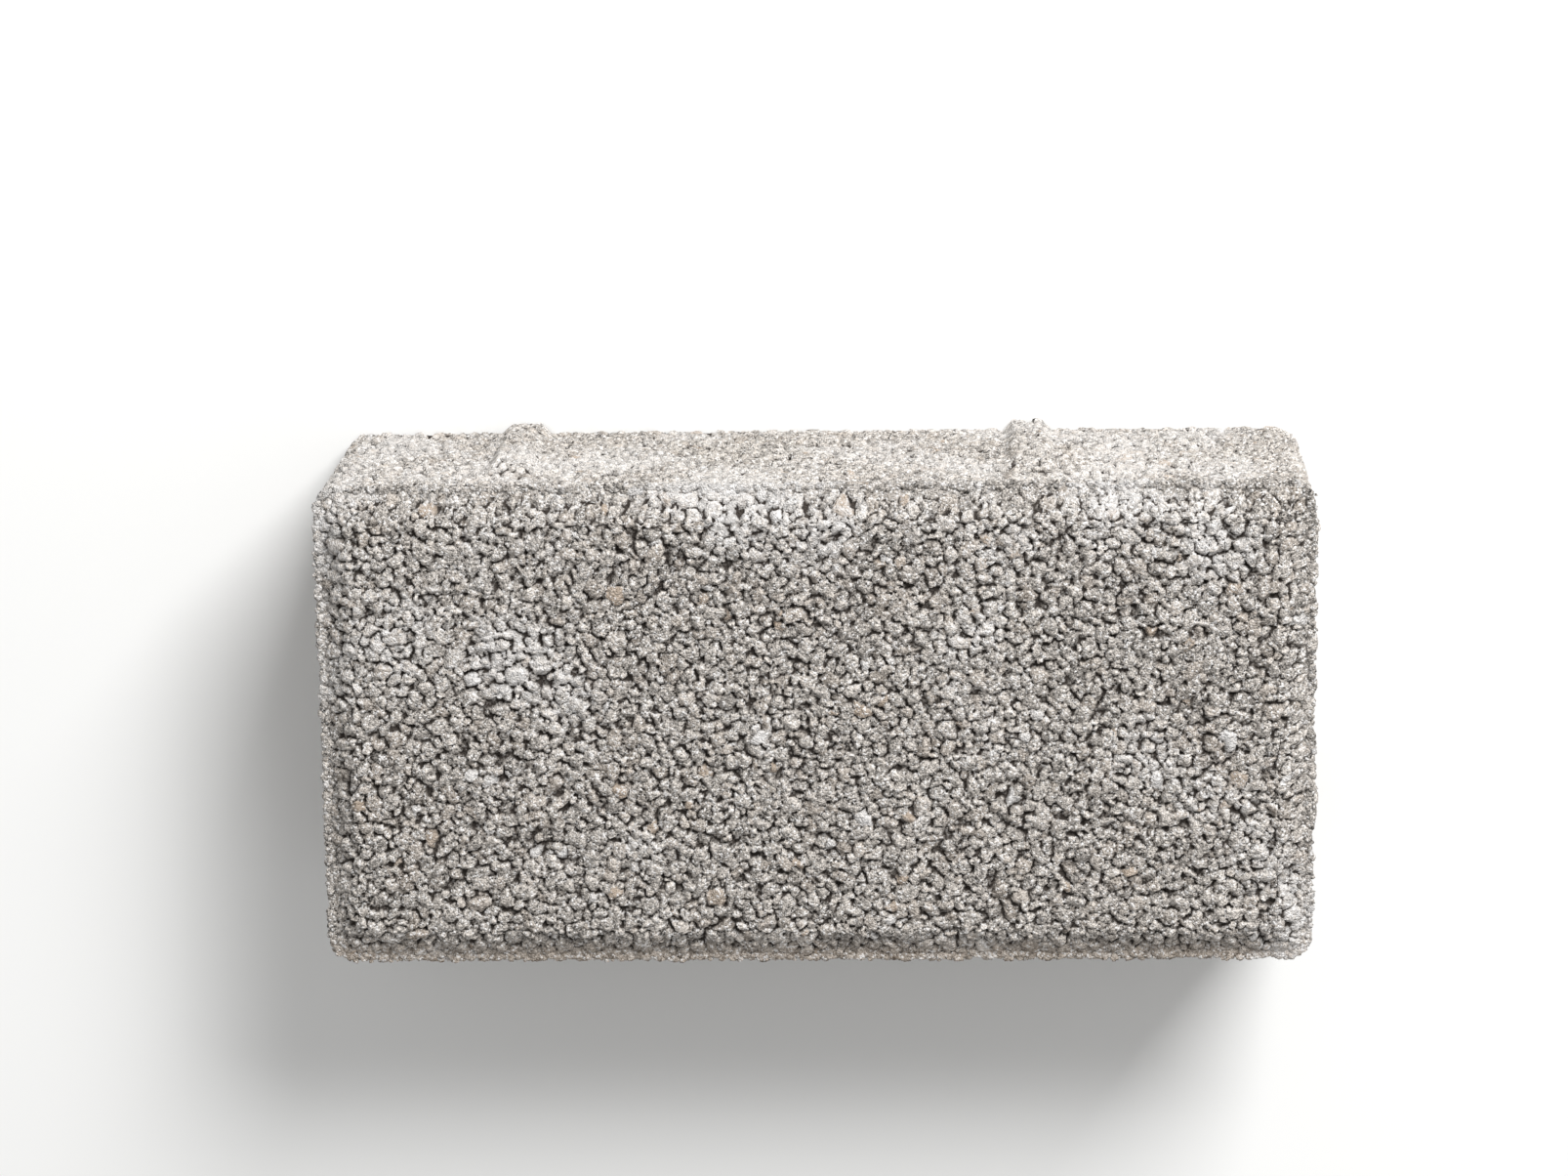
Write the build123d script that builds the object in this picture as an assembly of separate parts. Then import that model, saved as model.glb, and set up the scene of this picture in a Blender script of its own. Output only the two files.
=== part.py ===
from build123d import *
import os

# Permeable concrete paver, pressed in one piece from no-fines concrete.
# It lies flat with its wearing face up: X runs along the length, Y across it,
# and the origin is at the middle of the underside.
# All sizes are in millimetres.

# Laying module and joint
module_length = 200.0  # pitch of the pavers along a row, joint included
module_width = 100.0  # pitch of the rows
joint_width = 2.0  # open joint that the nibs keep between two pavers

# Block
thickness = 60.0  # underside to wearing face
corner_radius = 5.0  # upright corners, seen from above

# Crown round the wearing face, left by the tamper shoe
chamfer_run = 5.7  # measured level, from the wearing face outwards
chamfer_drop = 4.8  # measured down from the wearing face
ledge_width = 1.0  # flat land between the foot of the chamfer and the wall
face_corner_radius = 2.0  # corners of the wearing face, seen from above
knee_radius = 2.5  # round between the wearing face and the chamfer
arris_radius = 0.5  # round between the ledge and the wall

# Spacer nibs on the four walls
nib_root_width = 10.0  # where a nib leaves the wall
nib_crest_width = 6.0  # at its outer face
nib_edge_radius = 1.2  # rounding of the two crest edges
nib_head_depth = 14.0  # from the wearing face down to where a nib begins
nib_runout = 6.0  # height of the slope at a nib's head
end_nib_near = 15.0  # end wall: centre of one nib from its nearer corner
end_nib_far = 28.0  # end wall: centre of the other nib from its nearer corner
side_nib_near = 38.0  # long wall: the same two distances
side_nib_far = 56.0

body_length = module_length - joint_width
body_width = module_width - joint_width
shoulder_height = thickness - chamfer_drop
nib_top = thickness - nib_head_depth


def outline(length, width, radius):
    """Plan of the block or of its face: a rectangle with rounded corners."""
    return RectangleRounded(length, width, radius)


def block():
    """The straight walls, from the underside up to the ledge and its rounded arris."""
    walls = extrude(outline(body_length, body_width, corner_radius), shoulder_height)
    arris = walls.faces().sort_by(Axis.Z)[-1].edges()
    return fillet(arris, arris_radius)


def crown():
    """The chamfered top: it narrows from the inside of the ledge to the wearing face.

    The chamfer bends into the wearing face over a rounded knee.
    """
    foot = outline(
        body_length - 2 * ledge_width,
        body_width - 2 * ledge_width,
        corner_radius - ledge_width,
    )
    band = ledge_width + chamfer_run
    face = outline(body_length - 2 * band, body_width - 2 * band, face_corner_radius)
    pyramid = loft(
        [
            Plane.XY.offset(shoulder_height) * foot,
            Plane.XY.offset(thickness) * face,
        ],
        ruled=True,
    )
    knee = pyramid.faces().sort_by(Axis.Z)[-1].edges()
    return fillet(knee, knee_radius)


def nib():
    """One nib on a wall in the plane x = 0, standing out along +X, centred on y = 0.

    It is rooted in the block by one joint width, so that it is one solid with it.
    """
    root = nib_root_width / 2
    crest = nib_crest_width / 2
    plan = make_face(
        Polyline(
            (-joint_width, -root),
            (0, -root),
            (joint_width, -crest),
            (joint_width, crest),
            (0, root),
            (-joint_width, root),
            close=True,
        )
    )
    crest_corners = plan.vertices().group_by(Axis.X)[-1]
    prism = extrude(fillet(crest_corners, nib_edge_radius), nib_top)
    side_view = make_face(
        Polyline(
            (-joint_width, 0),
            (joint_width, 0),
            (joint_width, nib_top - nib_runout),
            (0, nib_top),
            (-joint_width, nib_top),
            close=True,
        )
    )
    slope = extrude(Plane.XZ * side_view, nib_root_width, both=True)
    return prism & slope


def wall_nibs(wall_length, wall_distance, near, far, turn):
    """The two nibs of one wall, which faces the direction that lies turn degrees from +X."""
    half = wall_length / 2
    places = (half - near, far - half)
    return [Rot(0, 0, turn) * Pos(wall_distance, y, 0) * nib() for y in places]


def nibs():
    """The nibs of all four walls.

    Turned by half a turn the set falls on itself, and no nib faces a nib of the next
    paver, so every nib bears on a plain wall and keeps the full joint.
    """
    ends = [
        piece
        for turn in (0, 180)
        for piece in wall_nibs(body_width, body_length / 2, end_nib_near, end_nib_far, turn)
    ]
    sides = [
        piece
        for turn in (90, 270)
        for piece in wall_nibs(body_length, body_width / 2, side_nib_near, side_nib_far, turn)
    ]
    return ends + sides


def paver():
    """The whole paver as one solid."""
    return block() + crown() + nibs()


os.makedirs("parts", exist_ok=True)
export_step(paver(), "parts/paver.step")
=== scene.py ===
import copy
import math

import bmesh
import bpy
import numpy as np
from bpy.props import FloatProperty, FloatVectorProperty, IntProperty, PointerProperty
from mathutils import Matrix, Vector, noise


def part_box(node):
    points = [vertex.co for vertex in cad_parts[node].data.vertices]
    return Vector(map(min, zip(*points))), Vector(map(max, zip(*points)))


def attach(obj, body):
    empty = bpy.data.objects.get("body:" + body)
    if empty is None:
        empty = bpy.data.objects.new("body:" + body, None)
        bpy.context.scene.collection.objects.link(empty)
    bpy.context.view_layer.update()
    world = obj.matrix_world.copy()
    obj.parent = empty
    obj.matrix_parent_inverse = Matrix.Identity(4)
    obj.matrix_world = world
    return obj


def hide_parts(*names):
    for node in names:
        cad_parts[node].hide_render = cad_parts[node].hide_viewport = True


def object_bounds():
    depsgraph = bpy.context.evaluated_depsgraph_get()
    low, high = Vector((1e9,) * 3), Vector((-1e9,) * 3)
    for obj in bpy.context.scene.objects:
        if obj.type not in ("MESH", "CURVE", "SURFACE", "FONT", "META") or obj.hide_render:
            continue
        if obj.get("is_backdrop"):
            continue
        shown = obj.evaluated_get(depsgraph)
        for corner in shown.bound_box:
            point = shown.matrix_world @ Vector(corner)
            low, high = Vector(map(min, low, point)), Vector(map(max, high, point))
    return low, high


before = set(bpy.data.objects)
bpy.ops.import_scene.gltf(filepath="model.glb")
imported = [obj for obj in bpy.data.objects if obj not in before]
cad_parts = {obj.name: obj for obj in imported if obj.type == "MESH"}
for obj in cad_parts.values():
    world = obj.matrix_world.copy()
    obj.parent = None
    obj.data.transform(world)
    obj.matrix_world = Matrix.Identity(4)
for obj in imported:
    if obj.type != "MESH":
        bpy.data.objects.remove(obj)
cad_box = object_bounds()

bl_info = {
    "name": "Permeable Concrete Paver",
    "version": (1, 0, 0),
    "blender": (4, 5, 0),
    "location": "3D View > Sidebar > Paver",
    "description": "Gives the pressed block its open grain of chippings, and sets up the studio",
    "category": "Add Mesh",
}

MM = 0.001
# Hidden backs this deep take the full painted pore shade
BURIED = 3 * MM  # depth below the face that the hidden backs are given
NODE = "paver"
BODY = "root"
HIGH = Vector(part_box(NODE)[1])


# Properties


def length_property(name, description, default):
    return FloatProperty(
        name=name, description=description, default=default, min=0.0, unit="LENGTH", precision=5
    )


def colour_property(name, description, default):
    return FloatVectorProperty(
        name=name, description=description, default=default, min=0.0, max=1.0, subtype="COLOR"
    )


class BlockSizes(bpy.types.PropertyGroup):
    """Sizes of the pressed block"""

    nib_depth: length_property("Nib depth", "How far a spacer nib stands out of its wall", 2 * MM)
    corner: length_property("Corner radius", "Upright corners, seen from above", 5 * MM)
    run: length_property("Chamfer run", "Level width of the chamfer", 5.7 * MM)
    drop: length_property("Chamfer drop", "Height of the chamfer", 4.8 * MM)
    ledge: length_property("Ledge", "Flat land at the foot of the chamfer", 1 * MM)
    face_corner: length_property("Face corner radius", "Corners of the wearing face", 2 * MM)
    knee: length_property("Knee radius", "Bend from the wearing face into the chamfer", 2.5 * MM)
    arris: length_property("Arris radius", "Edge between wall and ledge", 0.5 * MM)
    heel: length_property("Heel radius", "Wear of the block's lower edge", 0.8 * MM)
    nib_root: length_property("Nib root", "Width of a nib where it leaves the wall", 10 * MM)
    nib_crest: length_property("Nib crest", "Width of a nib at its outer face", 6 * MM)
    nib_head: length_property("Nib head", "From the wearing face down to a nib", 14 * MM)
    nib_runout: length_property("Nib run-out", "Height of the slope at a nib's head", 6 * MM)
    end_near: length_property("Near end nib", "Centre from the nearer corner", 15 * MM)
    end_far: length_property("Far end nib", "Centre from the nearer corner", 28 * MM)
    side_near: length_property("Near side nib", "Centre from the nearer corner", 38 * MM)
    side_far: length_property("Far side nib", "Centre from the nearer corner", 56 * MM)


class GrainSizes(bpy.types.PropertyGroup):
    """Sizes and numbers of the chippings"""

    coarse: length_property("Coarse radius", "Radius of the largest chippings", 2.5 * MM)
    fine: length_property("Fine radius", "Radius of the smallest chippings", 0.55 * MM)
    crevice: length_property("Crevices", "Depth of the crevices between chippings", 0.5 * MM)
    fusing: length_property("Fusing", "How narrow the cement leaves the crevices", 0.07 * MM)
    face_cell: length_property("Face grid", "Grid of the wearing face", 0.28 * MM)
    wall_cell: length_property("Wall grid", "Grid of the walls", 0.5 * MM)
    underside_cell: length_property("Underside grid", "Grid of the underside", 0.7 * MM)
    crowding: FloatProperty(
        name="Crowding",
        description="Distance kept between two chippings, as a share of their radii",
        default=0.64,
        min=0.5,
        max=1.2,
        subtype="FACTOR",
    )
    pores: FloatProperty(
        name="Pores",
        description="Open pores left on 1 cm2 of the wearing face",
        default=0.45,
        min=0.0,
    )
    seed: IntProperty(name="Seed", description="Which mix of chippings is laid", default=7)


class ConcreteColours(bpy.types.PropertyGroup):
    """Colours of the concrete"""

    cement: colour_property("Cement", "Cement film on most chippings", (0.410, 0.380, 0.348))
    # pale is also the colour of the painted glints
    pale: colour_property("Pale", "Bloom of lime and pale specks", (0.79, 0.78, 0.775))
    # warm is also the colour of the painted warm bounce light on the near edge
    warm: colour_property("Warm", "The few warm brown chippings", (0.42, 0.33, 0.25))
    # pore is the colour of the painted shade in the pores and crevices
    pore: colour_property("Pore", "Dirt and damp in the pores", (0.055, 0.045, 0.038))


class StudioSettings(bpy.types.PropertyGroup):
    """Floor and light"""

    floor: colour_property("Floor", "Plain studio floor", (0.80, 0.80, 0.79))
    key: FloatProperty(
        name="Key light", description="Power of the large lamp", default=24.0, unit="POWER"
    )
    sky: FloatProperty(name="Sky", description="Strength of the even light", default=0.55)


# Nominal surfaces of the block


def rounded_rectangle(x, y, half_x, half_y, radius):
    """Distance outside a rounded rectangle in plan, negative inside it."""
    over_x = np.abs(x) - (half_x - radius)
    over_y = np.abs(y) - (half_y - radius)
    corner = np.hypot(np.maximum(over_x, 0), np.maximum(over_y, 0))
    return corner + np.minimum(np.maximum(over_x, over_y), 0) - radius


class Block:
    """The pressed block's outer surface, worked out from its sizes"""

    def __init__(self, sizes):
        self.sizes = sizes
        self.top = HIGH.z
        self.half = (HIGH.x - sizes.nib_depth, HIGH.y - sizes.nib_depth)
        self.shoulder = self.top - sizes.drop
        self.straight = tuple(h - sizes.corner for h in self.half)
        arc = math.pi / 2 * sizes.corner
        # Going round from the middle of the +X wall: half a wall, then arc and wall in turn
        runs = [self.straight[1], arc, 2 * self.straight[0], arc, 2 * self.straight[1]]
        runs += [arc, 2 * self.straight[0], arc, self.straight[1]]
        self.stops = np.cumsum([0.0] + runs)
        self.perimeter = self.stops[-1]

    def crown_height(self, x, y):
        """Height of the wearing face or the chamfer, which runs on down past its foot."""
        s = self.sizes
        foot = [h - s.ledge for h in self.half]
        face = [h - s.run for h in foot]
        past_face = rounded_rectangle(x, y, *face, s.face_corner)
        past_foot = rounded_rectangle(x, y, *foot, s.corner - s.ledge)
        least = 1e-6  # keeps the division safe
        share = past_face / np.maximum(past_face - past_foot, least)
        knee = s.knee * math.tan(math.atan2(s.drop, s.run) / 2) / s.run
        eased = np.clip(share + knee, 0, 2 * knee) ** 2 / (4 * knee)
        share = np.where(share > knee, share, eased)
        share = np.where(past_foot > 0, 1 + past_foot / s.run, share)
        return self.top - s.drop * share

    def crown_normal(self, x, y):
        step = 0.3 * MM
        slope_x = (self.crown_height(x + step, y) - self.crown_height(x - step, y)) / (2 * step)
        slope_y = (self.crown_height(x, y + step) - self.crown_height(x, y - step)) / (2 * step)
        normal = np.stack([-slope_x, -slope_y, np.ones_like(slope_x)], -1)
        return normal / np.linalg.norm(normal, axis=-1, keepdims=True)

    def wall_place(self, along):
        """Point and outward direction on the wall, at a distance along it."""
        along = np.mod(along, self.perimeter)
        piece = np.clip(np.searchsorted(self.stops, along, side="right") - 1, 0, 8)
        into = along - self.stops[piece]
        sx, sy = self.straight
        radius = self.sizes.corner
        corner_x = np.array([0, sx, 0, -sx, 0, -sx, 0, sx, 0])[piece]
        corner_y = np.array([0, sy, 0, sy, 0, -sy, 0, -sy, 0])[piece]
        start = np.array([0, 0, 90, 90, 180, 180, 270, 270, 360])[piece] * math.pi / 180
        arc = piece % 2 == 1
        angle = start + np.where(arc, into / radius, 0)
        out_x, out_y = np.cos(angle), np.sin(angle)
        line_x = np.array([sx + radius, 0, sx, 0, -sx - radius, 0, -sx, 0, sx + radius])[piece]
        line_y = np.array([0, 0, sy + radius, 0, sy, 0, -sy - radius, 0, -sy])[piece]
        run_x = line_x - out_y * into
        run_y = line_y + out_x * into
        x = np.where(arc, corner_x + radius * out_x, run_x)
        y = np.where(arc, corner_y + radius * out_y, run_y)
        return x, y, out_x, out_y

    def wall_profile(self, v):
        """Inset, height and outward direction at a distance up the sheet of the walls.

        The sheet runs on over the arris and a little way under the foot of the chamfer, and
        below it round the lower edge and a little way up inside the underside.
        """
        s = self.sizes
        climb = 0.5
        high, low = self.shoulder - s.arris, s.heel
        up, down = v - high, low - v
        over, under = np.clip(up / s.arris, 0, math.pi / 2), np.clip(down / s.heel, 0, math.pi / 2)
        inward = np.maximum(up - s.arris * math.pi / 2, 0)
        return_in = np.maximum(down - s.heel * math.pi / 2, 0)
        inset = s.arris * (1 - np.cos(over)) + inward + s.heel * (1 - np.cos(under)) + return_in
        z = np.clip(v, low, high) + s.arris * np.sin(over) - s.heel * np.sin(under)
        z = z + climb * return_in
        return inset, z, np.cos(over) * np.cos(under), np.sin(over) - np.sin(under)

    def wall_seams(self):
        """Distances along the wall of the middles of the corners, from -X round to -X again."""
        arc = math.pi / 4 * self.sizes.corner
        turns = [self.stops[1] + arc, self.stops[3] + arc, self.stops[5] + arc]
        return [-turns[0], *turns, self.perimeter - turns[0]]

    def nib_centres(self):
        """Distances along the wall at which the nibs stand."""
        s = self.sizes
        middles = [
            0.0,
            (self.stops[2] + self.stops[3]) / 2,
            (self.stops[4] + self.stops[5]) / 2,
            (self.stops[6] + self.stops[7]) / 2,
        ]
        places = []
        for wall, middle in enumerate(middles):
            near, far = (s.end_near, s.end_far) if wall % 2 == 0 else (s.side_near, s.side_far)
            half = self.half[1] if wall % 2 == 0 else self.half[0]
            places += [middle + half - near, middle - half + far]
        return places

    def nib_height(self, along, z):
        """How far the nibs bring the wall out."""
        s = self.sizes
        slope = (s.nib_root - s.nib_crest) / 2
        head = self.top - s.nib_head
        rise = np.clip((head - z) / s.nib_runout, 0, 1)
        height = np.zeros(np.broadcast(along, z).shape)
        for centre in self.nib_centres():
            gap = np.mod(along - centre + self.perimeter / 2, self.perimeter)
            gap = np.abs(gap - self.perimeter / 2)
            share = np.clip((s.nib_root / 2 - gap) / slope, 0, 1)
            height = np.maximum(height, s.nib_depth * np.minimum(share, rise))
        return height


# Laying out the chippings


class Sheet:
    """A flat sheet on which chippings are laid, largest first, each beside those before it"""

    CELL = 0.25 * MM  # squares of the sheet, each of which knows how much room it has
    REACH = 6 * MM  # how far round a chipping the room is counted again
    HEADING = 1.2  # spread of the directions in which chippings lie, in radians

    def __init__(self, low, high, clear, wraps=False):
        self.low = low
        self.box = tuple(zip(low, high))
        self.area = (high[0] - low[0]) * (high[1] - low[1]) / (10 * MM) ** 2
        self.wraps = wraps
        self.shape = [int(round((b - a) / self.CELL)) for a, b in zip(low, high)]
        self.u = low[0] + (np.arange(self.shape[0]) + 0.5) * self.CELL
        self.v = low[1] + (np.arange(self.shape[1]) + 0.5) * self.CELL
        self.clear = clear(self.u[:, None], self.v[None, :])
        self.stones = []

    def under(self):
        """A like sheet below this one, with room where chippings stand apart or barely lap."""
        lap, room = 0.35 * MM, 5 * MM
        lower = copy.copy(self)
        lower.stones = []
        lower.clear = np.where(self.clear > -lap, room, -1.0)
        return lower

    def window(self, u, v):
        """Rows and columns of the cells round a place."""
        i = int((u - self.low[0]) / self.CELL)
        j = int((v - self.low[1]) / self.CELL)
        span = int(self.REACH / self.CELL) + 2
        rows = np.arange(i - span, i + span + 1)
        columns = np.arange(max(j - span, 0), min(j + span + 1, self.shape[1]))
        if not self.wraps:
            rows = rows[(rows >= 0) & (rows < self.shape[0])]
        return rows, columns

    def take(self, u, v, long, short, yaw):
        """Marks the ground that a chipping covers."""
        rows, columns = self.window(u, v)
        along = self.low[0] + (rows[:, None] + 0.5) * self.CELL - u
        across = self.v[columns][None, :] - v
        c, s = math.cos(yaw), math.sin(yaw)
        p = (along * c + across * s) / long
        q = (across * c - along * s) / short
        edge = (np.hypot(p, q) - 1) * math.sqrt(long * short)
        spot = np.ix_(rows % self.shape[0], columns)
        self.clear[spot] = np.minimum(self.clear[spot], edge)

    def lay(self, radii, crowding, stretch, rng):
        """Lays a chipping of each radius where there is room."""
        missed = None
        for radius in radii:
            # After one that found no room, only a clearly smaller one is tried
            if missed is not None and radius > 0.97 * missed:
                continue
            needed = crowding * rng.uniform(0.8, 1.2) * radius
            room = np.flatnonzero(self.clear.ravel() >= needed)
            if not len(room):
                missed = radius
                continue
            i, j = divmod(int(room[rng.integers(len(room))]), self.shape[1])
            u = self.u[i] + rng.uniform(-0.5, 0.5) * self.CELL
            v = self.v[j] + rng.uniform(-0.5, 0.5) * self.CELL
            ratio = 1 + stretch * rng.beta(1.6, 2.2)
            yaw = rng.normal(0, self.HEADING)
            long, short = radius * math.sqrt(ratio), radius / math.sqrt(ratio)
            self.take(u, v, long, short, yaw)
            self.stones.append((u, v, long, short, yaw))


def falling(rng, area, *classes):
    """Radii from largest to smallest: each class is (largest, smallest, how many on 1 cm2)."""
    radii = [
        np.sort(rng.uniform(low, high, int(rate * area)))[::-1] for high, low, rate in classes
    ]
    return np.concatenate(radii)


# Relief of a grained surface


def ripple(u, v, size, rng, around=None):
    """A smooth random swell from -1 to 1, its hills about this size."""
    span = around or float(u.max() - u.min()) + 2 * size
    count = max(int(round(span / size)), 1)
    table = rng.uniform(-1, 1, (count, int(float(v.max() - v.min()) / size) + 3))
    s = (u - u.min()) * count / span
    t = (v - v.min()) / size
    i, j = np.floor(s).astype(int), np.floor(t).astype(int)
    f, g = s - i, t - j
    f, g = f * f * (3 - 2 * f), g * g * (3 - 2 * g)
    near, far = i % count, (i + 1) % count
    below = table[near, j] * (1 - f) + table[far, j] * f
    above = table[near, j + 1] * (1 - f) + table[far, j + 1] * f
    return below * (1 - g) + above * g


def crumbs(u, v, pitch, low, high, rng, around=None):
    """Heights of small round grains, one in each cell of a loose lattice."""
    span = around or float(u.max() - u.min()) + 2 * pitch
    count = max(int(round(span / pitch)), 1)
    rows = int(float(v.max() - v.min()) / pitch) + 4
    jitter = rng.uniform(0, 1, (2, count, rows))
    radius = rng.uniform(low, high, (count, rows))
    s = (u - u.min()) * count / span
    t = (v - v.min()) / pitch + 1
    i, j = np.floor(s).astype(int), np.floor(t).astype(int)
    best = np.zeros(u.shape)
    for di in (-1, 0, 1):
        for dj in (-1, 0, 1):
            cell = ((i + di) % count, j + dj)
            across = (i + di + jitter[0][cell] - s) * pitch
            along = (j + dj + jitter[1][cell] - t) * pitch
            r = radius[cell]
            best = np.maximum(best, np.sqrt(np.maximum(r * r - across**2 - along**2, 0)))
    return best


def blurred(height, passes):
    """Heights averaged with their neighbours a number of times."""
    for _ in range(passes):
        padded = np.pad(height, 1, mode="edge")
        height = (padded[:-2, 1:-1] + padded[2:, 1:-1] + padded[1:-1, :-2] + padded[1:-1, 2:]) / 8
        height = height + padded[1:-1, 1:-1] / 2
    return height


def press(height, softness):
    """Heights over the mould's plane, brought under it as the mould or shoe does."""
    most = 30  # past this nothing is left of the squeezed height
    over = np.minimum((height + softness) / softness, most)
    squeezed = -softness * np.exp(-over)
    return np.where(height > -softness, squeezed, height)


class Relief:
    """Heights of chippings over the points of a sheet, and which chipping is on top at each"""

    FACETS = 4  # flats on each chipping
    SLACK = 0.5 * MM  # a little more than a bent outline strays from its oval
    BENDS = ((0.30 * MM, 1.4 * MM), (0.16 * MM, 0.65 * MM))  # how far it strays, over what size
    BEAT_SLOPE, BEAT_OFFSET = 0.3, -0.08  # the facet that the shoe beats nearly level
    ROUNDNESS = 1.4  # higher makes a chipping's top flatter and its flanks steeper

    def __init__(self, lines, u, v, floor, rng, around=None):
        self.lines = lines
        self.around = around
        self.u, self.v = u, v
        waves, gap = 0.3 * MM, 1 * MM
        self.height = floor + waves * ripple(u, v, 0.9 * MM, rng, around)
        self.second = self.height - gap  # what lies next below the surface at each point
        self.stone = np.full(u.shape, -1)
        self.count = 0
        # Chippings are cut from bent ground, so no outline is a true oval
        self.bent = []
        for place in (u, v):
            for stray, size in self.BENDS:
                place = place + stray * ripple(u, v, size, rng, around)
            self.bent.append(place)

    def window(self, u, v, reach):
        """Slices of the points round a place."""
        spans = []
        for place, lines in ((u, self.lines[0]), (v, self.lines[1])):
            low, high = np.searchsorted(lines, (place - reach, place + reach))
            spans.append(slice(low, high))
        return tuple(spans)

    def add(self, stones, tops, squat, rng):
        """Sets chippings on the sheet: u, v, half length, half width and turn of each."""
        count = len(stones)
        turn = rng.uniform(0, 2 * math.pi, (count, self.FACETS))
        slope = rng.uniform(0.2, 1.3, (count, self.FACETS))
        offset = rng.uniform(-0.05, 0.25, (count, self.FACETS))
        slope[:, 0] *= self.BEAT_SLOPE
        offset[:, 0] = self.BEAT_OFFSET
        along, across = slope * np.cos(turn), slope * np.sin(turn)
        shifts = (0.0,) if self.around is None else (0.0, -self.around, self.around)
        for k in range(count):
            u, v, long, short, yaw = stones[k]
            radius = math.sqrt(long * short)
            for shift in shifts:
                spot = self.window(u + shift, v, long + self.SLACK)
                if spot[0].start == spot[0].stop or spot[1].start == spot[1].stop:
                    continue
                du = self.bent[0][spot] - u - shift
                dv = self.bent[1][spot] - v
                c, s = math.cos(yaw), math.sin(yaw)
                square = ((du * c + dv * s) / long) ** 2 + ((dv * c - du * s) / short) ** 2
                dome = np.sqrt(np.maximum(1 - square**self.ROUNDNESS, 0))
                lump = tops[k] - squat * radius * (1 - dome)
                for m in range(self.FACETS):
                    level = tops[k] + offset[k, m] * radius
                    lump = np.minimum(lump, level - along[k, m] * du - across[k, m] * dv)
                lump = np.where(square < 1, lump, -1.0)
                best = self.height[spot]
                over = lump > best
                self.second[spot] = np.where(over, best, np.maximum(self.second[spot], lump))
                self.height[spot] = np.where(over, lump, best)
                self.stone[spot] = np.where(over, self.count + k, self.stone[spot])
        self.count += count

    def part(self, depth, width, rng):
        """Opens a crevice where two chippings meet, except where cement bridges it."""
        opening = 1.0 + 0.7 * ripple(self.u, self.v, 1.7 * MM, rng, self.around)
        gap = np.exp(-(self.height - self.second) / width)
        self.height -= depth * np.clip(opening, 0.25, 1.2) * gap

    def roughen(self, swell, fine, grain, rng):
        """Film and crumbs of cement over the chippings."""
        u, v, around = self.u, self.v, self.around
        fold, bed = 0.35, 0.12 * MM  # about the mean of the folded swell and of the crumbs
        self.height += swell * ripple(u, v, 1.0 * MM, rng, around)
        self.height += fine * (np.abs(ripple(u, v, 0.75 * MM, rng, around)) - fold)
        crusty = 0.7 + 0.5 * ripple(u, v, 4 * MM, rng, around)
        coarse = crumbs(u, v, pitch=0.8 * MM, low=0.1 * MM, high=0.5 * MM, rng=rng, around=around)
        small = crumbs(u, v, pitch=0.5 * MM, low=0.0, high=0.34 * MM, rng=rng, around=around)
        self.height += grain * crusty * (0.35 * coarse + 0.8 * small - bed)

    def values(self, rng, passes):
        """Numbers for the material at each point."""
        most, bed_tone, bed_kind = 2.2, -0.5, 0.5  # the last two of the ground between chippings
        tone = np.append(np.clip(rng.normal(0, 1, self.count), -most, most), bed_tone)
        kind = np.append(rng.uniform(0, 1, self.count), bed_kind)
        hollow = blurred(self.height, passes) - self.height
        return {
            "tone": tone[self.stone], "kind": kind[self.stone],
            "depth": -self.height, "hollow": hollow,
        }


# Meshes


def add_values(mesh, values):
    """Gives every vertex its numbers for the material."""
    for key, numbers in values.items():
        layer = mesh.attributes.new(key, "FLOAT", "POINT")
        layer.data.foreach_set("value", np.asarray(numbers, np.float32))


def dress(piece):
    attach(piece, BODY)
    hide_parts(NODE)


def add_piece(name, mesh, material):
    """Shades a finished mesh smoothly and puts it on the block."""
    mesh.polygons.foreach_set("use_smooth", np.ones(len(mesh.polygons), bool))
    mesh.materials.append(material)
    mesh.update()
    piece = bpy.data.objects.new(name, mesh)
    bpy.context.scene.collection.objects.link(piece)
    dress(piece)


def sort_new(group, count):
    """Puts what was added after the first count in order of bearing from the middle.

    So the rim of a plate is numbered the same way each time.
    """

    def rank(element):
        if element.index < count:
            return element.index
        corners = [element] if isinstance(element, bmesh.types.BMVert) else element.verts
        bearing = math.atan2(sum(v.co.y for v in corners), sum(v.co.x for v in corners))
        return count + math.pi + bearing

    group.index_update()
    group.sort(key=rank)
    group.ensure_lookup_table()


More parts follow.
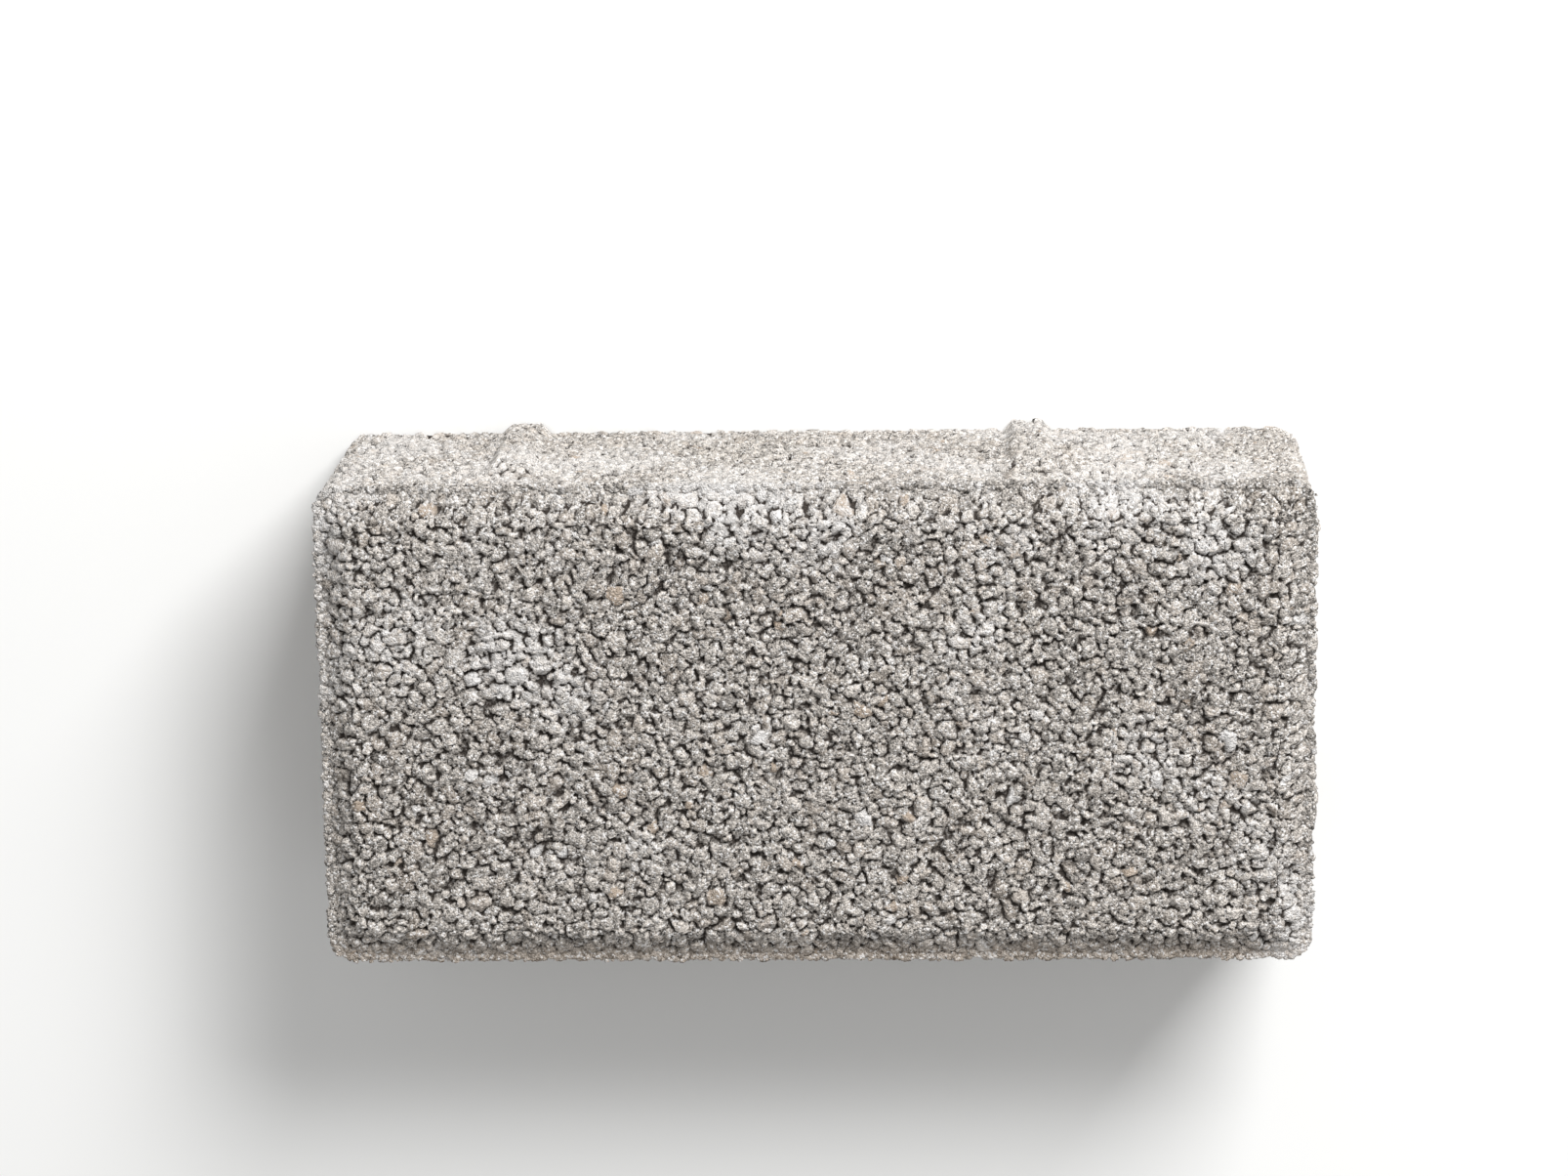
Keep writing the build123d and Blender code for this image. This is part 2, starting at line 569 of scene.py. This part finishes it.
def plate(name, points, back, values, material):
    """A closed plate with a grained front: a grid of places, and a flat behind them."""
    rows, columns = points.shape[:2]
    reach, drop = 0.5, 1.0  # of the plain plate, which is given its places afterwards
    bm = bmesh.new()
    bmesh.ops.create_grid(bm, x_segments=rows - 1, y_segments=columns - 1, size=reach)
    rim = [edge for edge in bm.edges if edge.is_boundary]
    for edge in rim:
        edge.smooth = False
    groups = (bm.verts, bm.edges, bm.faces)
    counts = [len(group) for group in groups]
    bmesh.ops.extrude_edge_only(bm, edges=rim)
    for group, count in zip(groups, counts):
        sort_new(group, count)
    bmesh.ops.translate(bm, vec=(0, 0, -drop), verts=bm.verts[counts[0]:])
    bmesh.ops.edgeloop_fill(bm, edges=[edge for edge in bm.edges if edge.is_boundary])
    bmesh.ops.recalc_face_normals(bm, faces=bm.faces[:])
    mesh = bpy.data.meshes.new(name)
    bm.to_mesh(mesh)
    bm.free()

    count = len(mesh.vertices)
    flat = np.empty(3 * count)
    mesh.vertices.foreach_get("co", flat)
    flat = flat.reshape(-1, 3)
    i = np.rint((flat[:, 0] + reach) * (rows - 1)).astype(int)
    j = np.rint((flat[:, 1] + reach) * (columns - 1)).astype(int)
    behind = flat[:, 2] < -drop / 2
    places = points[i, j]
    places[behind] = back(places[behind])
    mesh.vertices.foreach_set("co", places.astype(np.float32).ravel())
    numbers = {key: grid[i, j] for key, grid in values.items()}
    numbers["depth"] = np.where(behind, BURIED, numbers["depth"])
    add_values(mesh, numbers)

    # The chart is the grid itself within a margin, and the flat behind shrinks to a point
    margin = 0.01
    corner = np.empty(len(mesh.loops), np.int32)
    mesh.loops.foreach_get("vertex_index", corner)
    chart = np.stack([i / (rows - 1), j / (columns - 1)], -1)[corner] * (1 - 2 * margin) + margin
    for polygon in mesh.polygons:
        if polygon.loop_total > 4:
            chart[polygon.loop_start:polygon.loop_start + polygon.loop_total] = 0.0
    layer = mesh.uv_layers.new(name="OFBake")
    layer.data.foreach_set("uv", chart.astype(np.float32).ravel())
    add_piece(name, mesh, material)


def chipping_shape(seed):
    """A chipping of about unit radius: a ball of quads, knocked flat in places and worn."""
    flats, knock, wear, swells = 7, 0.9, 0.22, 1.6
    rng = np.random.default_rng(seed)
    bm = bmesh.new()
    bmesh.ops.create_cube(bm, size=2.0)
    bmesh.ops.subdivide_edges(bm, edges=bm.edges[:], cuts=1, use_grid_fill=True)
    for vertex in bm.verts:
        vertex.co.normalize()
    for _ in range(flats):
        normal = Vector(rng.normal(size=3)).normalized()
        reach = rng.uniform(0.6, 0.9)
        for vertex in bm.verts:
            over = vertex.co.dot(normal) - reach
            if over > 0:
                vertex.co -= normal * over * knock
    shift = Vector(rng.uniform(-50, 50, 3))
    for vertex in bm.verts:
        vertex.co *= 1 + wear * noise.noise(vertex.co * swells + shift)
    bm.verts.index_update()
    places = np.array([v.co[:] for v in bm.verts])
    faces = np.array([[v.index for v in f.verts] for f in bm.faces])
    bm.free()
    places -= places.mean(0)
    places /= np.linalg.norm(places, axis=1).mean()
    return places, faces


CHIPPINGS = [chipping_shape(seed) for seed in range(200, 214)]


def turns_of(yaw, tilt_u, tilt_v):
    """Rotations of many chippings: a turn on the sheet, then two tilts."""
    cy, sy = np.cos(yaw), np.sin(yaw)
    cu, su = np.cos(tilt_u), np.sin(tilt_u)
    cv, sv = np.cos(tilt_v), np.sin(tilt_v)
    zero, one = np.zeros_like(yaw), np.ones_like(yaw)
    turn = np.array([[cy, -sy, zero], [sy, cy, zero], [zero, zero, one]])
    roll = np.array([[one, zero, zero], [zero, cu, -su], [zero, su, cu]])
    nod = np.array([[cv, zero, sv], [zero, one, zero], [-sv, zero, cv]])
    return np.einsum("ijn,jkn,kln->nil", nod, roll, turn)


def chippings(stones, squat, rng):
    """Vertices of many chippings in sheet coordinates, their faces, and each one's number."""
    tilt, crumble = 0.25, 0.12
    u, v, long, short, yaw = stones.T
    count = len(u)
    tall = squat * np.sqrt(long * short) * rng.uniform(0.85, 1.15, count)
    turns = turns_of(yaw, rng.normal(0, tilt, count), rng.normal(0, tilt, count))
    scale = np.stack([long, short, tall], -1)
    centre = np.stack([u, v, -tall], -1)
    kind = rng.integers(len(CHIPPINGS), size=count)
    places, faces, owner, start = [], [], [], 0
    for k, (points, corners) in enumerate(CHIPPINGS):
        mine = np.flatnonzero(kind == k)
        # A random spin of the shape itself, before it is stretched, tells like chippings apart
        spins = turns_of(*(rng.uniform(0, 2 * math.pi, (3, len(mine)))))
        rough = 1 + rng.normal(0, crumble, (len(mine), len(points), 1))
        shaped = np.einsum("nij,vj->nvi", spins, points) * rough * scale[mine][:, None, :]
        placed = np.einsum("nij,nvj->nvi", turns[mine], shaped) + centre[mine][:, None, :]
        places.append(placed.reshape(-1, 3))
        offset = start + np.arange(len(mine)) * len(points)
        faces.append((corners[None] + offset[:, None, None]).reshape(-1, corners.shape[1]))
        owner.append(np.repeat(mine, len(points)))
        start += len(mine) * len(points)
    return np.concatenate(places), np.concatenate(faces), np.concatenate(owner)


def joined(name, places, faces, values, material):
    """One object of many small closed shapes, with a value of each kind for every vertex."""
    mesh = bpy.data.meshes.new(name)
    mesh.from_pydata(places, [], faces)
    add_values(mesh, values)
    add_piece(name, mesh, material)


# Shader maths


class Value:
    """A shader socket that Python arithmetic works on"""

    def __init__(self, shader, socket):
        self.shader = shader
        self.socket = socket

    def maths(self, operation, *numbers, clamp=False):
        settings = {"operation": operation, "use_clamp": clamp}
        return self.shader.node("ShaderNodeMath", settings, *numbers)

    def __add__(self, other):
        return self.maths("ADD", self, other)

    def __sub__(self, other):
        return self.maths("SUBTRACT", self, other)

    def __rsub__(self, other):
        return self.maths("SUBTRACT", other, self)

    def __mul__(self, other):
        return self.maths("MULTIPLY", self, other)

    __radd__ = __add__
    __rmul__ = __mul__

    def __abs__(self):
        return self.maths("ABSOLUTE", self)

    def clamped(self):
        return self.maths("ADD", self, 0.0, clamp=True)

    def swing(self, reach):
        """A number from 0 to 1 made to swing evenly about 0, this far in all."""
        return (self - 0.5) * reach

    def crease(self):
        """A noise folded about its middle, which leaves sharp creases in it."""
        return abs(self - 0.5)


class Shader:
    """A material's node tree"""

    def __init__(self, name):
        self.material = bpy.data.materials.new(name)
        self.material.use_nodes = True
        self.tree = self.material.node_tree
        self.tree.nodes.clear()

    def node(self, kind, settings=None, *inputs, output=0, others=None, **named):
        """A node of any kind: its settings first, then its inputs, and one of its outputs.

        others are inputs by number, where they share a name or the first few are skipped.
        output is None for a node that only ends a tree.
        """
        node = self.tree.nodes.new(kind)
        for key, value in (settings or {}).items():
            setattr(node, key, value)
        for socket, value in {**dict(enumerate(inputs)), **(others or {}), **named}.items():
            target = node.inputs[socket]
            if isinstance(value, Value):
                self.tree.links.new(value.socket, target)
            elif value is not None:
                target.default_value = value
        return None if output is None else Value(self, node.outputs[output])

    def attribute(self, name):
        return self.node("ShaderNodeAttribute", {"attribute_name": name}, output="Fac")

    def places(self):
        return self.node("ShaderNodeTexCoord", output="Object")

    def place(self, axis):
        return self.node("ShaderNodeSeparateXYZ", None, self.places(), output=axis)

    def grain(self, size, detail=2.0, roughness=0.5, shift=0.0):
        """Smooth noise from 0 to 1 with patches of about this size in metres."""
        vector = self.node(
            "ShaderNodeVectorMath", {"operation": "ADD"}, self.places(), (shift, shift, shift)
        )
        return self.node(
            "ShaderNodeTexNoise",
            {"noise_dimensions": "3D"},
            Vector=vector,
            Scale=1 / size,
            Detail=detail,
            Roughness=roughness,
        )

    def sand(self, size):
        """Distance from the middle of the nearest sand grain, and a random number for it."""
        settings = {"voronoi_dimensions": "3D", "feature": "F1"}
        distance = self.node("ShaderNodeTexVoronoi", settings, Vector=self.places(), Scale=1 / size)
        colour = Value(self, distance.socket.node.outputs["Color"])
        return distance, self.node("ShaderNodeSeparateColor", None, colour)

    def step(self, value, low, high):
        """A smooth rise from 0 to 1 as value goes from low to high."""
        return self.node(
            "ShaderNodeMapRange", {"interpolation_type": "SMOOTHSTEP"}, value, low, high
        )

    def mix(self, share, first, second, blend="MIX"):
        """Two colours mixed: the colour sockets of the node are its seventh and eighth."""
        first, second = (
            colour if isinstance(colour, Value) else (*colour, 1.0) for colour in (first, second)
        )
        settings = {"data_type": "RGBA", "blend_type": blend}
        return self.node(
            "ShaderNodeMix", settings, share, others={6: first, 7: second}, output=2
        )

    def surface(self, colour, roughness, gloss, normal=None):
        inputs = {
            "Base Color": colour,
            "Roughness": roughness,
            "Specular IOR Level": gloss,
            "Normal": normal,
        }
        shade = self.node("ShaderNodeBsdfPrincipled", None, **inputs)
        self.node("ShaderNodeOutputMaterial", None, shade, output=None)
        return self.material


def open_grain(name, colours, bloom_share, glint_share, bump):
    """Cement-coated chippings: mottled film, pale painted glints and bloom, painted shade down in
    the pores.
    """
    sh = Shader(name)
    tone = sh.attribute("tone")
    depth = sh.attribute("depth")
    kind = sh.attribute("kind")
    hollow = sh.attribute("hollow")

    mottle = sh.grain(size=1.3 * MM, detail=3.0, roughness=0.6)
    crumb = sh.grain(size=0.42 * MM, roughness=0.65, shift=3.0)
    dust = sh.grain(size=0.3 * MM, detail=1.0, shift=7.0)
    sand, tint = sh.sand(size=0.42 * MM)
    patch = sh.grain(size=26 * MM, shift=11.0)

    # The cement film is lighter or darker by chipping, by crumb, by patch and by sand grain,
    # and lighter on the ridges, a painted highlight
    ridge_highlight = 0.35
    level = 1.0 + tone * 0.11 + mottle.swing(0.8) + crumb.swing(2.9) + patch.swing(0.3)
    level = level + sh.step(hollow, -0.05 * MM, -0.3 * MM) * ridge_highlight + tint.swing(1.1)
    grey = sh.node("ShaderNodeCombineColor", None, level, level, level)
    film = sh.mix(1.0, colours.cement, grey, "MULTIPLY")

    # A few chippings show warm brown, more show a little of it, and a few are pale
    brown = sh.step(kind, 0.985, 0.99) * 0.5 + sh.step(kind + patch * 0.3, 0.75, 1.1) * 0.2
    film = sh.mix(brown, film, colours.warm)
    bare = sh.step(kind + mottle.swing(0.01), 0.013, 0.009)
    film = sh.mix(bare * 0.5, film, colours.pale)

    # Painted warm bounce light on the upper near edge, lime bloom in patches and paler towards the
    # far edge
    near = sh.step(sh.place("Y"), -42 * MM, -49 * MM)
    high = sh.step(sh.place("Z"), 42 * MM, 56 * MM)
    film = sh.mix(near * high * 0.38, film, colours.warm)
    far = sh.step(sh.place("Y"), 26 * MM, 50 * MM)
    bloom = sh.step(patch + mottle.swing(0.6) + far * 0.14, 0.56, 0.78) * bloom_share
    film = sh.mix(bloom.clamped(), film, colours.pale)
    # Painted glints: pale specks that stand in for light sparkling off the grains
    glints = sh.step(tint + mottle.swing(0.4), 0.82, 0.88) * glint_share
    film = sh.mix(glints.clamped(), film, colours.pale)

    # Painted shade lies deep in the pores, and in every crevice
    painted_pore_shade = sh.step(depth + (mottle - 0.5) * 0.5 * MM, 0.65 * MM, 2.0 * MM)
    painted_pore_shade = painted_pore_shade + sh.step(hollow + (crumb - 0.5) * 0.1 * MM, 0.08 * MM, 0.40 * MM)
    colour = sh.mix(painted_pore_shade.clamped(), film, colours.pore)

    creases = crumb.crease() * 0.6 + mottle.crease()
    relief = creases + dust * 0.35 - sand * 0.6
    normal = sh.node(
        "ShaderNodeBump", None, Strength=bump, Distance=0.6 * MM, Height=relief
    )
    return sh.surface(colour, roughness=0.92, gloss=0.3, normal=normal)


# Pieces


def rises(rng, count, mean, spread, low, high=0.3):
    """Random heights over the mould's plane, given in millimetres."""
    return np.clip(rng.normal(mean, spread, count), low, high) * MM


def plan_grid(half_x, half_y, radius, cell):
    """Lines of a grid in plan, and its points, with the corners drawn in to their arcs."""
    lines = [
        np.linspace(-half, half, int(round(2 * half / cell)) + 1) for half in (half_x, half_y)
    ]
    x, y = (grid.copy() for grid in np.meshgrid(*lines, indexing="ij"))
    s = (np.abs(x) - (half_x - radius)) / radius
    t = (np.abs(y) - (half_y - radius)) / radius
    corner = (s > 0) & (t > 0)
    s, t = s[corner], t[corner]
    x[corner] = np.sign(x[corner]) * (half_x - radius + radius * s * np.sqrt(1 - t * t / 2))
    y[corner] = np.sign(y[corner]) * (half_y - radius + radius * t * np.sqrt(1 - s * s / 2))
    return lines, x, y


def lay_chippings(sheet, relief, grain, rng, mixes, under, upper, squat):
    """Fills a sheet with chippings, sets them in the relief, and sets a lower layer first.

    under and upper say how high the tops of the two layers are: mean, spread and lowest.
    """
    sheet.lay(falling(rng, sheet.area, *mixes), grain.crowding, stretch=0.9, rng=rng)
    lower = sheet.under()
    filling = falling(rng, sheet.area, (1.5 * MM, 0.9 * MM, 45))
    lower.lay(filling, crowding=0.8, stretch=0.6, rng=rng)
    for stones, (mean, spread, low) in ((lower.stones, under), (sheet.stones, upper)):
        stones = np.array(stones)
        tops = rises(rng, len(stones), mean, spread, low)
        relief.add(stones, tops, squat, rng)
    relief.part(grain.crevice, grain.fusing, rng)


def face_relief(block, grain, sheet, lines, x, y, rng):
    """The relief of the wearing face and the chamfer, and its values for the material."""
    pores = int(grain.pores * sheet.area)
    for _ in range(pores):
        u, v = (rng.uniform(low, high) for low, high in sheet.box)
        size = rng.uniform(0.2, 0.6) * MM
        sheet.take(u, v, size * rng.uniform(1, 1.8), size, rng.uniform(0, math.pi))
    relief = Relief(lines, x, y, floor=-1.6 * MM, rng=rng)
    mixes = (
        (grain.coarse, 1.9 * MM, 2.2),
        (1.9 * MM, 1.5 * MM, 6),
        (1.5 * MM, 1.2 * MM, 10),
        (1.2 * MM, 0.8 * MM, 16),
        (0.8 * MM, grain.fine, 30),
    )
    under, upper = (-0.55, 0.22, -1.4), (-0.22, 0.28, -1.0)
    lay_chippings(sheet, relief, grain, rng, mixes, under, upper, squat=0.8)
    # The shoe presses the chamfer closer than the face, and closest towards its foot
    fall = (block.top - block.crown_height(x, y)) / block.sizes.drop
    halfway, worn_from, worn_over = 0.5, 0.55, 0.45  # shares of the chamfer's drop
    band = np.clip(fall / halfway, 0, 1)
    relief.height = press(relief.height + 0.08 * MM * band, (0.2 - 0.05 * band) * MM)
    worn = 0.6 + 0.6 * ripple(x, y, 22 * MM, rng)
    relief.height *= 1 - 0.55 * worn * np.clip((fall - worn_from) / worn_over, 0, 1)
    relief.roughen(swell=0.15 * MM, fine=0.28 * MM, grain=1.0, rng=rng)
    relief.height = press(relief.height, softness=0.04 * MM)
    return relief, relief.values(rng, passes=10)


def slab_back(height):
    """Places a level plate's back at a height, a little smaller than its front."""
    shrink = (0.93, 0.87, 0)

    def back(places):
        return places * shrink + (0, 0, height)

    return back


def plan_sheet(half_x, half_y, radius):
    """A level sheet in the block's plan, on which chippings may reach a little over the rim."""
    over = 0.5 * MM

    def clear(u, v):
        return -rounded_rectangle(u, v, half_x, half_y, radius) + over

    return Sheet((-half_x, -half_y), (half_x, half_y), clear)


def make_top(block, grain, material):
    """The wearing face with its chamfer, in three plates."""
    rng = np.random.default_rng(grain.seed)
    s = block.sizes
    past, thickness = 0.3 * MM, 9 * MM
    half_x, half_y = (h - s.ledge + past for h in block.half)
    radius = s.corner - s.ledge + past
    sheet = plan_sheet(half_x, half_y, radius)
    lines, x, y = plan_grid(half_x, half_y, radius, grain.face_cell)
    relief, values = face_relief(block, grain, sheet, lines, x, y, rng)
    base = np.stack([x, y, block.crown_height(x, y)], -1)
    points = base + block.crown_normal(x, y) * relief.height[..., None]

    back = slab_back(block.top - thickness)
    cuts = np.linspace(0, len(lines[0]) - 1, 4).astype(int)
    for name, low, high in zip(("left", "middle", "right"), cuts[:-1], cuts[1:]):
        part = slice(low, high + 1)
        shares = {key: grid[part] for key, grid in values.items()}
        plate("wearing_face_" + name, points[part], back, shares, material)


def make_lip(block, grain, material):
    """The crumbly flash along the arris, squeezed up beside the shoe."""
    rng = np.random.default_rng(grain.seed + 5)
    pitch = 0.62 * MM
    count = int(block.perimeter / pitch)
    along = (np.arange(count) + rng.uniform(-0.5, 0.5, count)) * pitch
    radius = rng.uniform(0.3, 1.0, count) * MM
    ratio = rng.uniform(1.0, 1.9, count)
    yaw = rng.normal(0, 0.5, count)
    stones = np.stack([along, np.zeros(count), radius * ratio, radius, yaw], -1)
    local, faces, owner = chippings(stones, squat=0.9, rng=rng)
    reach = rises(rng, count, mean=0.1, spread=0.28, low=-0.6, high=0.6)
    lift = rng.normal(-0.35, 0.4, count) * MM
    x, y, nx, ny = block.wall_place(local[:, 0])
    # The crumbs stand at most so far out of the wall and over the ledge
    farthest, highest = 0.6 * MM, 0.15 * MM
    out = np.minimum(local[:, 2] + reach[owner], farthest)
    z = block.shoulder + highest + press(local[:, 1] + lift[owner], softness=0.3 * MM)
    places = np.stack([x + nx * out, y + ny * out, z], -1)
    tone = np.clip(rng.normal(0, 1, count), -2, 2)[owner]
    kind = rng.uniform(0, 0.4, count)[owner]
    hollow = rng.uniform(-0.15, 0.17, count)[owner] * MM
    values = {"tone": tone, "kind": kind, "depth": -out * 0.3, "hollow": hollow}
    joined("arris_crumbs", places, faces, values, material)


def make_walls(block, grain, material):
    """The four walls with their nibs, each a plate that ends in the middle of two corners."""
    rng = np.random.default_rng(grain.seed + 1)
    s = block.sizes
    thickness = 6 * MM
    # The sheet runs this far on behind the underside and under the foot of the chamfer
    tuck_low, tuck_high = 1.5 * MM, 2.0 * MM
    low = s.heel * (1 - math.pi / 2) - tuck_low
    high = block.shoulder + s.arris * (math.pi / 2 - 1) + s.ledge + tuck_high
    seams = block.wall_seams()
    runs = [
        np.linspace(a, b, int(round((b - a) / grain.wall_cell)) + 1)
        for a, b in zip(seams[:-1], seams[1:])
    ]
    lines = [
        np.concatenate([run[:-1] for run in runs] + [runs[-1][-1:]]),
        np.linspace(low, high, int(round((high - low) / grain.wall_cell)) + 1),
    ]
    along, v = np.meshgrid(*lines, indexing="ij")

    over = 0.6 * MM  # how far chippings may reach past the sheet

    def clear(u, v):
        return np.minimum(v - low, high - v) + over + np.zeros_like(u)

    sheet = Sheet((seams[0], low), (seams[-1], high), clear, wraps=True)
    relief = Relief(lines, along, v, floor=-1.7 * MM, rng=rng, around=block.perimeter)
    mixes = (
        (grain.coarse, 1.9 * MM, 0.5),
        (1.9 * MM, 1.5 * MM, 2.7),
        (1.5 * MM, 1.15 * MM, 8),
        (1.15 * MM, 0.8 * MM, 15),
        (0.8 * MM, 0.6 * MM, 15),
    )
    under, upper = (-0.8, 0.3, -1.6), (-0.05, 0.28, -1.0)
    lay_chippings(sheet, relief, grain, rng, mixes, under, upper, squat=0.75)
    inset, z, out, rise = block.wall_profile(v)
    relief.height = press(relief.height, softness=0.15 * MM)
    # The top of the wall is packed closer, up to the ledge
    packed = 4 * MM
    relief.height *= 1 - 0.6 * np.clip((v - block.shoulder) / packed + 1, 0, 1)
    relief.roughen(swell=0.12 * MM, fine=0.2 * MM, grain=0.6, rng=rng)
    relief.height = press(relief.height, softness=0.05 * MM)
    values = relief.values(rng, passes=5)
    x, y, nx, ny = block.wall_place(along)
    reach = block.nib_height(along, z) - inset + relief.height * out
    points = np.stack([x + nx * reach, y + ny * reach, z + relief.height * rise], -1)
    start = 0
    walls = (("right", 0, 1), ("back", 1, 1), ("left", 0, -1), ("front", 1, -1))
    for (name, axis, side), run in zip(walls, runs):
        part = slice(start, start + len(run))
        start += len(run) - 1

        def back(places, axis=axis, side=side):
            places = places.copy()
            places[:, axis] = side * (block.half[axis] - thickness)
            return places

        shares = {key: grid[part] for key, grid in values.items()}
        plate(name + "_wall", points[part], back, shares, material)


def make_underside(block, grain, material):
    rng = np.random.default_rng(grain.seed + 2)
    s = block.sizes
    thickness = 6 * MM
    inset = s.heel * 0.75
    half_x, half_y = (h - inset for h in block.half)
    radius = s.corner - inset
    sheet = plan_sheet(half_x, half_y, radius)
    lines, u, v = plan_grid(half_x, half_y, radius, grain.underside_cell)
    relief = Relief(lines, u, v, floor=-1.5 * MM, rng=rng)
    mixes = (
        (grain.coarse, 1.9 * MM, 0.8),
        (1.9 * MM, 1.4 * MM, 4.6),
        (1.4 * MM, 1.0 * MM, 20),
    )
    under, upper = (-0.8, 0.3, -1.4), (0.05, 0.22, -0.8)
    lay_chippings(sheet, relief, grain, rng, mixes, under, upper, squat=0.8)
    relief.height = press(relief.height, softness=0.12 * MM)
    relief.roughen(swell=0.1 * MM, fine=0.12 * MM, grain=0.5, rng=rng)
    relief.height = press(relief.height, softness=0.05 * MM)
    values = relief.values(rng, passes=4)
    points = np.stack([u, -v, -relief.height], -1)
    plate("underside", points, slab_back(thickness), values, material)


# Studio


def photo_camera(block):
    """The photograph's viewpoint: almost straight down, leaning a little towards +Y."""
    tilt, pan, roll = (math.radians(a) for a in (13.14, 2.45, 0.91))
    focal_pixels, image_width = 5000.0, 1606.0
    aside = Vector((6.11 * MM, -28.2 * MM, -968.0 * MM))
    turn = Matrix.Rotation(roll, 4, "Z") @ Matrix.Rotation(tilt, 4, "X")
    turn = turn @ Matrix.Rotation(-pan, 4, "Y")
    view = Matrix.Translation(aside) @ turn @ Matrix.Translation((0, 0, -block.top))
    data = bpy.data.cameras.new("photo_camera")
    data.sensor_width = 36.0
    data.lens = focal_pixels * data.sensor_width / image_width
    data.clip_start, data.clip_end = 0.01, 20.0
    camera = bpy.data.objects.new("photo_camera", data)
    camera.matrix_world = view.inverted()
    bpy.context.scene.collection.objects.link(camera)
    bpy.context.scene.camera = camera


def soft_lamp(name, place, size, power):
    """A square lamp that points at the block."""
    data = bpy.data.lights.new(name, "AREA")
    data.shape = "SQUARE"
    data.size = size
    data.energy = power
    lamp = bpy.data.objects.new(name, data)
    lamp.location = place
    lamp.rotation_euler = (-Vector(place)).to_track_quat("-Z", "Y").to_euler()
    bpy.context.scene.collection.objects.link(lamp)


def make_floor(colour):
    gap = 0.2 * MM
    bm = bmesh.new()
    bmesh.ops.create_grid(bm, x_segments=1, y_segments=1, size=3.0)
    bmesh.ops.translate(bm, vec=(0, 0, -gap), verts=bm.verts[:])
    mesh = bpy.data.meshes.new("studio_floor")
    bm.to_mesh(mesh)
    bm.free()
    paint = Shader("studio_floor").surface((*colour, 1.0), roughness=0.9, gloss=0.5)
    mesh.materials.append(paint)
    floor = bpy.data.objects.new("studio_floor", mesh)
    bpy.context.scene.collection.objects.link(floor)
    floor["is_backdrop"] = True


def make_sky(strength):
    world = bpy.data.worlds.new("studio_sky")
    bpy.context.scene.world = world
    world.use_nodes = True
    back = world.node_tree.nodes["Background"]
    back.inputs["Color"].default_value = (1.0, 1.0, 1.0, 1.0)
    back.inputs["Strength"].default_value = strength


# Operators


class PAVER_OT_top(bpy.types.Operator):
    """Lay the chippings of the wearing face, the chamfer and the ledge"""

    bl_idname = "paver.top"
    bl_label = "Top Chippings"

    def execute(self, context):
        scene = context.scene
        block = Block(scene.paver_block)
        material = open_grain(
            "open_grain_top", scene.paver_colours, bloom_share=0.5, glint_share=0.75, bump=1.0
        )
        make_top(block, scene.paver_grain, material)
        make_lip(block, scene.paver_grain, material)
        return {"FINISHED"}


class PAVER_OT_walls(bpy.types.Operator):
    """Lay the chippings of the walls and nibs"""

    bl_idname = "paver.walls"
    bl_label = "Wall Chippings"

    def execute(self, context):
        scene = context.scene
        material = open_grain(
            "open_grain_walls", scene.paver_colours, bloom_share=0.3, glint_share=0.6, bump=0.95
        )
        make_walls(Block(scene.paver_block), scene.paver_grain, material)
        return {"FINISHED"}


class PAVER_OT_underside(bpy.types.Operator):
    """Lay the chippings of the underside"""

    bl_idname = "paver.underside"
    bl_label = "Underside Chippings"

    def execute(self, context):
        scene = context.scene
        material = open_grain(
            "open_grain_underside", scene.paver_colours, bloom_share=0.15, glint_share=0.5, bump=0.9
        )
        make_underside(Block(scene.paver_block), scene.paver_grain, material)
        return {"FINISHED"}


class PAVER_OT_studio(bpy.types.Operator):
    """Set up the floor, the light and the photograph's viewpoint"""

    bl_idname = "paver.studio"
    bl_label = "Studio"

    def execute(self, context):
        scene = context.scene
        studio = scene.paver_studio
        scene.view_settings.view_transform = "Standard"
        make_floor(studio.floor)
        make_sky(studio.sky)
        soft_lamp("key_lamp", place=(0.50, 0.92, 0.87), size=0.6, power=studio.key)
        photo_camera(Block(scene.paver_block))
        return {"FINISHED"}


class PAVER_PT_panel(bpy.types.Panel):
    """Steps that make the paver and its studio"""

    bl_label = "Permeable Paver"
    bl_idname = "PAVER_PT_panel"
    bl_space_type = "VIEW_3D"
    bl_region_type = "UI"
    bl_category = "Paver"

    def draw(self, context):
        for step in STEPS:
            self.layout.operator(step.bl_idname)


STEPS = (PAVER_OT_top, PAVER_OT_walls, PAVER_OT_underside, PAVER_OT_studio)
GROUPS = {
    "paver_block": BlockSizes,
    "paver_grain": GrainSizes,
    "paver_colours": ConcreteColours,
    "paver_studio": StudioSettings,
}


def register():
    for group in GROUPS.values():
        bpy.utils.register_class(group)
    for name, group in GROUPS.items():
        setattr(bpy.types.Scene, name, PointerProperty(type=group))
    for cls in (*STEPS, PAVER_PT_panel):
        bpy.utils.register_class(cls)


def unregister():
    for cls in (PAVER_PT_panel, *STEPS):
        bpy.utils.unregister_class(cls)
    for name in GROUPS:
        delattr(bpy.types.Scene, name)
    for group in GROUPS.values():
        bpy.utils.unregister_class(group)


def main():
    register()
    bpy.ops.paver.top()
    bpy.ops.paver.walls()
    bpy.ops.paver.underside()
    bpy.ops.paver.studio()
    boxes = {"cad": cad_box, "visual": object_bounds()}
    {k: [list(corner) for corner in box] for k, box in boxes.items()}


if __name__ == "__main__":
    main()
